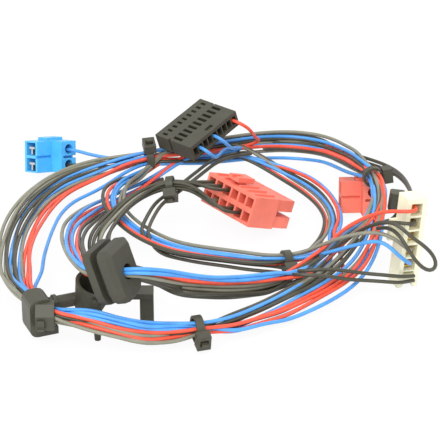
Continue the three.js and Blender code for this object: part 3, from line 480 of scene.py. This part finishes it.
def ease(x):
    x = min(1.0, max(0.0, x))
    return x * x * (3 - 2 * x)


def spread_at(name, fraction):
    """How far the wires of a section have sprung apart, from 0 in a tie to 1."""
    knots = SECTIONS[name]["loose"]
    for (start, low), (end, high) in zip(knots, knots[1:]):
        if fraction <= end:
            return low + (high - low) * ease((fraction - start) / (end - start))
    return knots[-1][1]


def through(name, wire_name, start=0.0, end=1.0):
    """Points of one wire along a section, from one share of its length to another."""
    section = SECTIONS[name]
    line = middle_lines[section["route"]]
    index = section["wires"].index(wire_name)
    stray = STRAYS.get((name, wire_name), 0.0)
    count = max(2, round(abs(end - start) * length_of(line) / CONTROL_STEP))
    points = []
    for k in range(count + 1):
        fraction = start + (end - start) * k / count
        at = round(fraction * (len(line) - 1))
        behind, ahead = line[max(0, at - 2)], line[min(len(line) - 1, at + 2)]
        along = (ahead - behind).normalized()
        across = along.cross(Vector((0, 0, 1))).normalized()
        up = across.cross(along)
        share = spread_at(name, fraction)
        tilt = math.radians(section["tilt"][0] + (section["tilt"][1] - section["tilt"][0]) * fraction)
        spread = Matrix.Rotation(tilt, 2) @ (section["spread"][index] + Vector((stray, 0)))
        place = section["packed"][index].lerp(spread, share)
        wave = math.sin(WAVE_ALONG * fraction + WAVE_ACROSS * index)
        wander = WANDER * WIRE_DIAMETER * share * wave
        lift = place.y + DROP.get(name, 0.0)
        points.append(line[at] + across * (place.x + wander) + up * lift)
    return points


def chain(*runs):
    """Joins runs of points: where one ends near the next one's start, the two become one point."""
    points = [p.copy() for p in runs[0]]
    for run in runs[1:]:
        run = [p.copy() for p in run]
        if (run[0] - points[-1]).length < JOIN_DISTANCE:
            points[-1] = (points[-1] + run[0]) / 2
            run = run[1:]
        points += run
    return points


def lead(name, reverse=False):
    """Points of one lead, in the order in which they are written or the other way round."""
    points = [Vector(p) + SHIFT for p in WIRES[name]]
    return points[::-1] if reverse else points


print("Control points of one loop wire:", len(through("left", "loop_grey_a")))

# %% [markdown]
# The wires have a soft plastic coat. It is coloured right through, so the colour only drifts a
# little, while handling leaves the gloss uneven. The black coats look olive in strong light.
# Noise on Object coordinates gives both, at a scale of a few millimetres.

# %% Finishes
COAT_GRAIN = 1500
DRIFT_SCALE = 180
BUMP_DEPTH = 0.0002


def new_material(name, base, roughness, grain_scale, grain, drift=0.12, specular=0.5, edge=0.0):
    """A plastic or rubber, with a drifting colour, an uneven gloss and a fine-grained skin."""
    material = bpy.data.materials.new(name)
    material.use_nodes = True
    tree = material.node_tree
    shader = tree.nodes["Principled BSDF"]
    shader.inputs["Specular IOR Level"].default_value = specular
    where = tree.nodes.new("ShaderNodeTexCoord")

    cloud = tree.nodes.new("ShaderNodeTexNoise")
    cloud.inputs["Scale"].default_value = DRIFT_SCALE
    cloud.inputs["Detail"].default_value = 3
    tree.links.new(where.outputs["Object"], cloud.inputs["Vector"])
    colours = tree.nodes.new("ShaderNodeValToRGB")
    colours.color_ramp.elements[0].position = 0.3
    colours.color_ramp.elements[1].position = 0.7
    colours.color_ramp.elements[0].color = [c * (1 - drift) for c in base] + [1]
    colours.color_ramp.elements[1].color = [min(1, c * (1 + drift)) for c in base] + [1]
    tree.links.new(cloud.outputs["Fac"], colours.inputs["Fac"])
    tree.links.new(colours.outputs["Color"], shader.inputs["Base Color"])

    gloss = tree.nodes.new("ShaderNodeMapRange")
    gloss.inputs["To Min"].default_value = roughness - 0.08
    gloss.inputs["To Max"].default_value = roughness + 0.1
    tree.links.new(cloud.outputs["Fac"], gloss.inputs["Value"])
    tree.links.new(gloss.outputs["Result"], shader.inputs["Roughness"])

    skin = tree.nodes.new("ShaderNodeTexNoise")
    skin.inputs["Scale"].default_value = grain_scale
    skin.inputs["Detail"].default_value = 2
    tree.links.new(where.outputs["Object"], skin.inputs["Vector"])
    bump = tree.nodes.new("ShaderNodeBump")
    bump.inputs["Strength"].default_value = grain
    bump.inputs["Distance"].default_value = BUMP_DEPTH
    tree.links.new(skin.outputs["Fac"], bump.inputs["Height"])
    if edge:
        rounded = tree.nodes.new("ShaderNodeBevel")
        rounded.samples = 4
        rounded.inputs["Radius"].default_value = edge
        tree.links.new(rounded.outputs["Normal"], bump.inputs["Normal"])
    tree.links.new(bump.outputs["Normal"], shader.inputs["Normal"])
    return material


finishes = {
    "wire_black": new_material("wire_black", (0.056, 0.053, 0.034), 0.42, COAT_GRAIN, 0.15),
    "wire_grey": new_material("wire_grey", (0.22, 0.215, 0.16), 0.42, COAT_GRAIN, 0.15),
    "wire_blue": new_material("wire_blue", (0.07, 0.31, 0.75), 0.38, COAT_GRAIN, 0.1),
    "wire_red": new_material("wire_red", (0.8, 0.085, 0.04), 0.38, COAT_GRAIN, 0.1),
    "sky_blue": new_material("sky_blue", (0.07, 0.44, 0.87), 0.4, 900, 0.15, 0.06, edge=0.0003),
    "signal_red": new_material("signal_red", (0.88, 0.2, 0.135), 0.4, 900, 0.15, 0.06, edge=0.0003),
    "black_nylon": new_material("black_nylon", (0.052, 0.05, 0.033), 0.5, 1200, 0.3, edge=0.0003),
    "black_rubber": new_material("black_rubber", (0.046, 0.045, 0.03), 0.62, 1400, 0.4, edge=0.0004),
    "ivory": new_material("ivory", (0.84, 0.82, 0.6), 0.45, 900, 0.15, 0.05, edge=0.0003),
}
print("Finishes:", ", ".join(finishes))

# %% [markdown]
# The contacts get a metal with a fine mottle in its colour and its gloss: tin for the two-way
# connectors and brass for the five-way connector.

# %% Metal contacts
MOTTLE_SCALE = 700


def new_metal(name, dark, light, metallic):
    """A plated contact: a fine mottle in its colour and its gloss."""
    material = bpy.data.materials.new(name)
    material.use_nodes = True
    tree = material.node_tree
    shader = tree.nodes["Principled BSDF"]
    shader.inputs["Metallic"].default_value = metallic
    where = tree.nodes.new("ShaderNodeTexCoord")
    mottle = tree.nodes.new("ShaderNodeTexNoise")
    mottle.inputs["Scale"].default_value = MOTTLE_SCALE
    tree.links.new(where.outputs["Object"], mottle.inputs["Vector"])
    colours = tree.nodes.new("ShaderNodeValToRGB")
    colours.color_ramp.elements[0].color = (*dark, 1)
    colours.color_ramp.elements[1].color = (*light, 1)
    tree.links.new(mottle.outputs["Fac"], colours.inputs["Fac"])
    tree.links.new(colours.outputs["Color"], shader.inputs["Base Color"])
    gloss = tree.nodes.new("ShaderNodeMapRange")
    gloss.inputs["To Min"].default_value = 0.28
    gloss.inputs["To Max"].default_value = 0.5
    tree.links.new(mottle.outputs["Fac"], gloss.inputs["Value"])
    tree.links.new(gloss.outputs["Result"], shader.inputs["Roughness"])
    return material


finishes["tin"] = new_metal("tin", (0.42, 0.41, 0.37), (0.68, 0.67, 0.63), 1.0)
finishes["brass"] = new_metal("brass", (0.6, 0.36, 0.08), (0.95, 0.66, 0.2), 0.5)
print("Metals: tin and brass")

# %% [markdown]
# Every node of the frame has a material slot, and the finish of the same name goes onto it. The
# slot of the bundles has no finish, so their tubes get the black coat. It isn't seen, because the
# wires take their place.

# %% The finish of each CAD node
slots_of_nodes = {part["node"]: part["material_slot"] for part in frame["record"]["subparts"]}
for name, node in nodes.items():
    finish = finishes.get(slots_of_nodes[name], finishes["wire_black"])
    node.data.materials.clear()
    node.data.materials.append(finish)
print("Finished nodes:", len(nodes))

# %% [markdown]
# Now the wires themselves. Each is one curve with a round section, laid along its routes. Its line
# is relaxed a little after it is drawn, which takes the corners out of the joints between two runs.

# %% Laying a wire
RELAXING_PASSES = 6
wire_lengths = {}


def wire(name, points, colour, *replaced):
    """One wire as a curve, tied to the frame's body; the nodes that it replaces are hidden."""
    line = relaxed(smooth_line(points), RELAXING_PASSES)
    length = length_of(line)
    curve = bpy.data.curves.new(name, "CURVE")
    curve.dimensions = "3D"
    curve.bevel_depth = WIRE_DIAMETER / 2
    curve.bevel_resolution = 2
    curve.use_fill_caps = True
    spline = curve.splines.new("POLY")
    spline.points.add(len(line) - 1)
    for point, place in zip(spline.points, line):
        point.co = (*place, 1)
    spline.use_smooth = True
    made = bpy.data.objects.new(name, curve)
    bpy.context.scene.collection.objects.link(made)
    curve.materials.append(finishes["wire_" + colour])
    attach(made, "root")
    if replaced:
        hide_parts(*replaced)
    wire_lengths[name] = length
    return made


def show_lengths(*names):
    print("In mm:", {name: round(1000 * wire_lengths[name]) for name in names})


print("Wire colours:", sorted(name for name in finishes if name.startswith("wire_")))

# %% [markdown]
# Wires change from one bundle to another between the ties, and some end inside a bundle. Here are
# the places at which they do so, as shares of the length of the bundle's route. A pair gives both
# ends of a short run.

# %% Where the wires join and leave the bundles
CLIP_MIDDLE = 0.5
BACK_START = 0.05
BACK_TO_ARC = 0.3
BACK_TO_LEADS = 0.6
BACK_TO_BRANCH = 0.4
BACK_UNDER_NINE_WAY = (0.32, 0.14)
BACK_END_OF_INNER = (0.06, 0.2)
ARC_FROM_BACK = 0.09
ARC_TO_FAN = 0.34
FAN_FROM_ARC = 0.3
FAN_TO_BRANCH = 0.42
FAN_SHORT_START = 0.1
RIGHT_UPPER_END = 0.02
RIGHT_LOWER_END = 0.05
RIGHT_TO_RED_UPPER = 0.3
RIGHT_TO_RED_LOWER = 0.55
RIGHT_TO_SPLICE = 0.9
BRANCH_BY_TIE = 0.93
FOOT_RUN = (0.5, 0.7)
SOCKET_RUN = (0.9, 0.03)
UNDER_BRANCH_RUN = (0.45, 0.97)
print("The grommet's branch leaves the lower right at", FAN_TO_BRANCH, "of its length")

# %% [markdown]
# The loop wires start in the middle of the clip, run round the whole coil and end there again.
# After them, the tubes of the outer coil are hidden.

# %% Loop wires, all the way round
LOOP_WIRES = {
    "loop_grey_a": "grey", "loop_grey_b": "grey", "loop_grey_c": "grey", "loop_black_a": "black",
    "loop_blue_a": "blue", "loop_blue_b": "blue", "loop_red_a": "red", "loop_red_b": "red",
}


def out_of_clip(name):
    return [through("clip_left", name, CLIP_MIDDLE, 1), through("left", name)]


def into_clip(name):
    return [through("front", name), through("clip_front", name, 0, CLIP_MIDDLE)]


for name, colour in LOOP_WIRES.items():
    run = [*out_of_clip(name), *(through(section, name) for section in ("back", "right", "fan"))]
    wire(name, chain(*run, *into_clip(name)), colour)
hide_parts("bundle_left", "bundle_back", "bundle_right", "bundle_fan")
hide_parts("bundle_front", "bundle_clip")
show_lengths(*LOOP_WIRES)

# %% [markdown]
# Two black wires come from the clip, leave the back bundle and end behind the five-way connector.

# %% Wires that leave the coil at the back
BACK_LEADS = {"back_black_upper": "back_lead_upper", "back_black_lower": "back_lead_lower"}
for name, route in BACK_LEADS.items():
    run = chain(*out_of_clip(name), through("back", name, 0, BACK_TO_LEADS), lead(route))
    wire(name, run, "black", route)
show_lengths(*BACK_LEADS)

# %% [markdown]
# Three wires come from the clip, leave the back bundle and run once round the inner coil. Two more
# come from the five-way connector. All five end in the back bundle, in the places in which the
# first three pass there, so in that short run they lie in each other.

# %% Wires of the inner coil
COIL_WIRES = {"coil_grey": "grey", "coil_red": "red", "coil_blue": "blue"}
for name, colour in COIL_WIRES.items():
    run = chain(
        *out_of_clip(name),
        through("back", name, 0, BACK_TO_ARC),
        through("arc", name, ARC_FROM_BACK, TIE_ON_INNER),
        through("inner", name, TIE_ON_INNER, 1),
        through("back", name, *BACK_END_OF_INNER),
    )
    wire(name, run, colour)
INNER_WIRES = {
    "inner_grey": ("grey", "lead_five_way_4"),
    "inner_blue": ("blue", "lead_five_way_5"),
}
for name, (colour, route) in INNER_WIRES.items():
    run = chain(
        lead(route, reverse=True),
        through("inner", name, TIE_ON_INNER, 1),
        through("back", "coil_grey", *BACK_END_OF_INNER),
    )
    wire(name, run, colour, route)
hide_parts("bundle_inner")
show_lengths(*COIL_WIRES, *INNER_WIRES)

# %% [markdown]
# The five-way connector's lowest pair of wires runs along under the inner coil, crosses the inside
# of the coil and ends at the back bundle. There the second wire lies a little apart from the first.

# %% The small pair at the five-way connector's foot
PAIR_APART = 0.0021
PAIR_SLANT = -0.6
SMALL_PAIR = [
    (-0.0266, -0.0313, 0.0094), (-0.0251, -0.0188, 0.0108), (-0.0216, -0.0091, 0.0122),
    (-0.0186, -0.0075, 0.0136), (-0.014, 0.0, 0.014), (-0.0085, 0.0105, 0.014),
    (-0.0028, 0.022, 0.0134), (0.0036, 0.0292, 0.0126), (0.0094, 0.0325, 0.012),
]
for name, route, apart in (
    ("foot_black_upper", "lead_five_way_foot_upper", 0.0),
    ("foot_black_lower", "lead_five_way_foot_lower", PAIR_APART),
):
    pair = [Vector(p) + SHIFT + Vector((apart, apart * PAIR_SLANT, 0)) for p in SMALL_PAIR]
    run = chain(lead(route, reverse=True), through("foot", name, *FOOT_RUN), pair)
    wire(name, run, "black", route)
show_lengths("foot_black_upper", "foot_black_lower")

# %% [markdown]
# The blue connector has two wires. The blue one runs round the back and the right side into the
# clip. The black one joins the inner coil and ends with its wires.

# %% Wires of the blue connector
run = chain(
    lead("lead_two_way_blue_upper"),
    *(through(section, "blue_housing_blue") for section in ("back", "right", "fan")),
    *into_clip("blue_housing_blue"),
)
wire("blue_housing_blue", run, "blue", "lead_two_way_blue_upper")
run = chain(
    lead("lead_two_way_blue_lower"),
    through("back", "blue_housing_black", BACK_START, BACK_TO_ARC),
    through("arc", "blue_housing_black", ARC_FROM_BACK, TIE_ON_INNER),
    through("inner", "blue_housing_black", TIE_ON_INNER, 1),
    through("back", "coil_red", *BACK_END_OF_INNER),
)
wire("blue_housing_black", run, "black", "lead_two_way_blue_lower")
show_lengths("blue_housing_blue", "blue_housing_black")

# %% [markdown]
# Three wires come from the nine-way connector, turn back to the upper left tie and run down through
# the grommet to the lower right. There one goes to the five-way connector, one goes on to the red
# connector and one ends in the right bundle. Where a wire has no place of its own in a section, it
# takes that of another one, and the two lie in each other there.

# %% Wires from the nine-way connector through the grommet
def up_the_right(place, end, right_place=None):
    """From the grommet's branch through the lower right and up the right bundle, in a named place."""
    return [
        through("fan", place, FAN_TO_BRANCH, 0),
        through("right", right_place or place, 1, end),
    ]


RED_UPPER = lead("lead_two_way_red_upper", reverse=True)
NINE_WIRES = {
    "nine_blue_left": (
        "blue", "lead_nine_way_left",
        [*up_the_right("nine_blue_left", RIGHT_TO_RED_UPPER), RED_UPPER], ["lead_two_way_red_upper"],
    ),
    "nine_blue_right": (
        "blue", "lead_nine_way_middle", up_the_right("branch_black_b", RIGHT_UPPER_END), [],
    ),
    "nine_red": ("red", "lead_nine_way_right", [lead("lead_five_way_1")], ["lead_five_way_1"]),
}
for name, (colour, route, far_runs, far_leads) in NINE_WIRES.items():
    run = chain(
        lead(route),
        through("back", name, *BACK_UNDER_NINE_WAY),
        through("branch_left", name, BRANCH_BY_TIE, 0),
        through("branch_right", name),
        *far_runs,
    )
    wire(name, run, colour, route, *far_leads)
show_lengths(*NINE_WIRES)

# %% [markdown]
# Four more wires start in the back bundle, run round the right side and pass the grommet the other
# way, up to the upper left tie. At the back each one takes the place of a wire that has left.

# %% Wires round the right side and through the grommet
BRANCH_WIRES = {
    "branch_red": ("red", "nine_red"),
    "branch_grey": ("grey", "nine_blue_left"),
    "branch_black_b": ("black", "nine_blue_right"),
    "branch_black": ("black", "coil_grey"),
}
for name, (colour, place) in BRANCH_WIRES.items():
    run = chain(
        through("back", place, BACK_TO_BRANCH, 1),
        through("right", name),
        through("fan", name, 0, FAN_TO_BRANCH),
        through("branch_right", name, 1, 0),
        through("branch_left", name),
    )
    wire(name, run, colour)
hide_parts("bundle_branch_left", "bundle_branch_right")
show_lengths(*BRANCH_WIRES)

# %% [markdown]
# Three wires leave the back bundle with those of the inner coil, run down beside them and join the
# lower right, from where they go into the clip. At the back they lie in the inner coil's wires.

# %% Wires from the arc to the front bundle
ARC_WIRES = {
    "arc_blue": ("blue", "coil_blue"),
    "arc_red": ("red", "coil_red"),
    "arc_black": ("black", "coil_grey"),
}
for name, (colour, place) in ARC_WIRES.items():
    run = chain(
        through("back", place, BACK_START, BACK_TO_ARC),
        through("arc", name, ARC_FROM_BACK, ARC_TO_FAN),
        through("fan", name, FAN_FROM_ARC, 1),
        *into_clip(name),
    )
    wire(name, run, colour)
show_lengths(*ARC_WIRES)

# %% [markdown]
# The twelve-way receptacle stands askew, so a cavity is found from the upper corner of its wire
# face: so many ways along the row, so far down to the row, and then into the housing.

# %% Cavities of the twelve-way receptacle
END_WALL = 0.0006
WAY_PITCH = 0.0042
ROW_PITCH = 0.0052
BETWEEN_ROWS = 0.00545  # from the corner down to the middle between the two rows
CAVITY_CORNER = Vector((-0.0037, 0.0008, 0.0185)) + SHIFT
ALONG_ROW = Vector((0.622, -0.783, -0.009)).normalized()
UPWARD = ALONG_ROW.cross(Vector((0.733, 0.581, -0.353))).normalized()
INTO = UPWARD.cross(ALONG_ROW)


def cavity(way, row, depth):
    """A point on the middle of one of the cavities, at that depth inside the wire face."""
    return (
        CAVITY_CORNER
        + ALONG_ROW * (END_WALL + (way + 0.5) * WAY_PITCH)
        - UPWARD * (BETWEEN_ROWS + (row - 0.5) * ROW_PITCH)
        + INTO * depth
    )


print("Middle of the first cavity:", cavity(0, 0, 0))

# %% [markdown]
# Six wires come out of its cavities and run in their own bundle to the grommet's branch, then under
# it to the lower right. One goes to the five-way connector. The others go up the right bundle, where
# one leaves for the red connector, one for the splice and three end. In the lower right these five
# lie in the wires of the grommet's branch.

# %% Wires of the twelve-way receptacle
WIRE_DEPTHS = (0.004, -0.002, -0.006)  # from inside a cavity to a point in front of the wire face
RED_LOWER = lead("lead_two_way_red_lower", reverse=True)
SPLICE = lead("splice_lead", reverse=True)
SOCKET_WIRES = {
    "socket_black_a": ("black", (0, 0), [lead("lead_five_way_2")], ["lead_five_way_2"]),
    "socket_black_d": ("black", (1, 0), up_the_right("branch_red", RIGHT_LOWER_END), []),
    "socket_black_b": (
        "black", (2, 0), [*up_the_right("branch_black", RIGHT_TO_SPLICE), SPLICE], ["splice_lead"],
    ),
    "socket_grey": (
        "grey", (1, 1), [*up_the_right("branch_grey", RIGHT_TO_RED_LOWER, "socket_grey"), RED_LOWER],
        ["lead_two_way_red_lower"],
    ),
    "socket_black_e": ("black", (3, 1), up_the_right("branch_black_b", RIGHT_LOWER_END), []),
    "socket_black_c": ("black", (4, 1), up_the_right("branch_black", RIGHT_LOWER_END), []),
}
for name, (colour, (way, row), far_runs, far_leads) in SOCKET_WIRES.items():
    run = chain(
        [cavity(way, row, depth) for depth in WIRE_DEPTHS],
        through("socket", name, *SOCKET_RUN),
        through("under_branch", name, *UNDER_BRANCH_RUN),
        *far_runs,
    )
    wire(name, run, colour, *far_leads)
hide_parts("bundle_socket")
show_lengths(*SOCKET_WIRES)

# %% [markdown]
# Two wires are left: a black one from the lower right to the clip, and the short loop beside the
# five-way connector.

# %% The last two wires
run = chain(through("fan", "socket_black_c", FAN_SHORT_START, 1), *into_clip("socket_black_c"))
wire("fan_black", run, "black")
wire("jumper", lead("jumper_loop"), "black", "jumper_loop")
print("Wires:", len(wire_lengths), "Total length:", round(sum(wire_lengths.values()), 2))

# %% [markdown]
# A white floor, a white world and two broad lamps make the plain catalogue light. The floor glows
# for the camera and keeps a faint shadow under the coil.

# %% Floor
FLOOR_SIZE = 6
FLOOR_GLOW = 0.93  # share of its own light in what the camera sees of the floor
bpy.ops.mesh.primitive_plane_add(size=FLOOR_SIZE, location=(0, 0, 0))
floor = bpy.context.active_object
floor.name = "floor"
floor_material = bpy.data.materials.new("floor")
floor_material.use_nodes = True
floor_tree = floor_material.node_tree
floor_diffuse = floor_tree.nodes.new("ShaderNodeBsdfDiffuse")
floor_diffuse.inputs["Color"].default_value = (0.9, 0.9, 0.9, 1)
floor_light = floor_tree.nodes.new("ShaderNodeEmission")
floor_light.inputs["Color"].default_value = (1, 1, 1, 1)
floor_path = floor_tree.nodes.new("ShaderNodeLightPath")
floor_share = floor_tree.nodes.new("ShaderNodeMath")
floor_share.operation = "MULTIPLY"
floor_share.inputs[1].default_value = FLOOR_GLOW
floor_mix = floor_tree.nodes.new("ShaderNodeMixShader")
floor_tree.links.new(floor_path.outputs["Is Camera Ray"], floor_share.inputs[0])
floor_tree.links.new(floor_share.outputs[0], floor_mix.inputs["Fac"])
floor_tree.links.new(floor_diffuse.outputs[0], floor_mix.inputs[1])
floor_tree.links.new(floor_light.outputs[0], floor_mix.inputs[2])
floor_tree.links.new(floor_mix.outputs[0], floor_tree.nodes["Material Output"].inputs["Surface"])
floor.data.materials.append(floor_material)
print("Floor:", FLOOR_SIZE, "m wide")

# %% [markdown]
# The world lights the coil from all sides. The key lamp stands in front of it, on the left, and a
# weaker one stands behind it, on the right. Both point at the middle of the floor.

# %% World and lamps
WORLD_STRENGTH = 0.95
world = bpy.data.worlds.new("studio")
bpy.context.scene.world = world
world.use_nodes = True
world.node_tree.nodes["Background"].inputs["Color"].default_value = (1, 1, 1, 1)
world.node_tree.nodes["Background"].inputs["Strength"].default_value = WORLD_STRENGTH

for lamp_name, place, size, power in (
    ("key lamp", (-0.3, -0.8, 0.9), 0.9, 12),
    ("back lamp", (0.6, 0.8, 0.9), 0.8, 4),
):
    lamp_data = bpy.data.lights.new(lamp_name, "AREA")
    lamp_data.size = size
    lamp_data.energy = power
    lamp = bpy.data.objects.new(lamp_name, lamp_data)
    bpy.context.scene.collection.objects.link(lamp)
    lamp.location = place
    lamp.rotation_euler = (-Vector(place)).to_track_quat("-Z", "Y").to_euler()
bpy.context.scene.view_settings.view_transform = "Standard"
print("Lamps placed")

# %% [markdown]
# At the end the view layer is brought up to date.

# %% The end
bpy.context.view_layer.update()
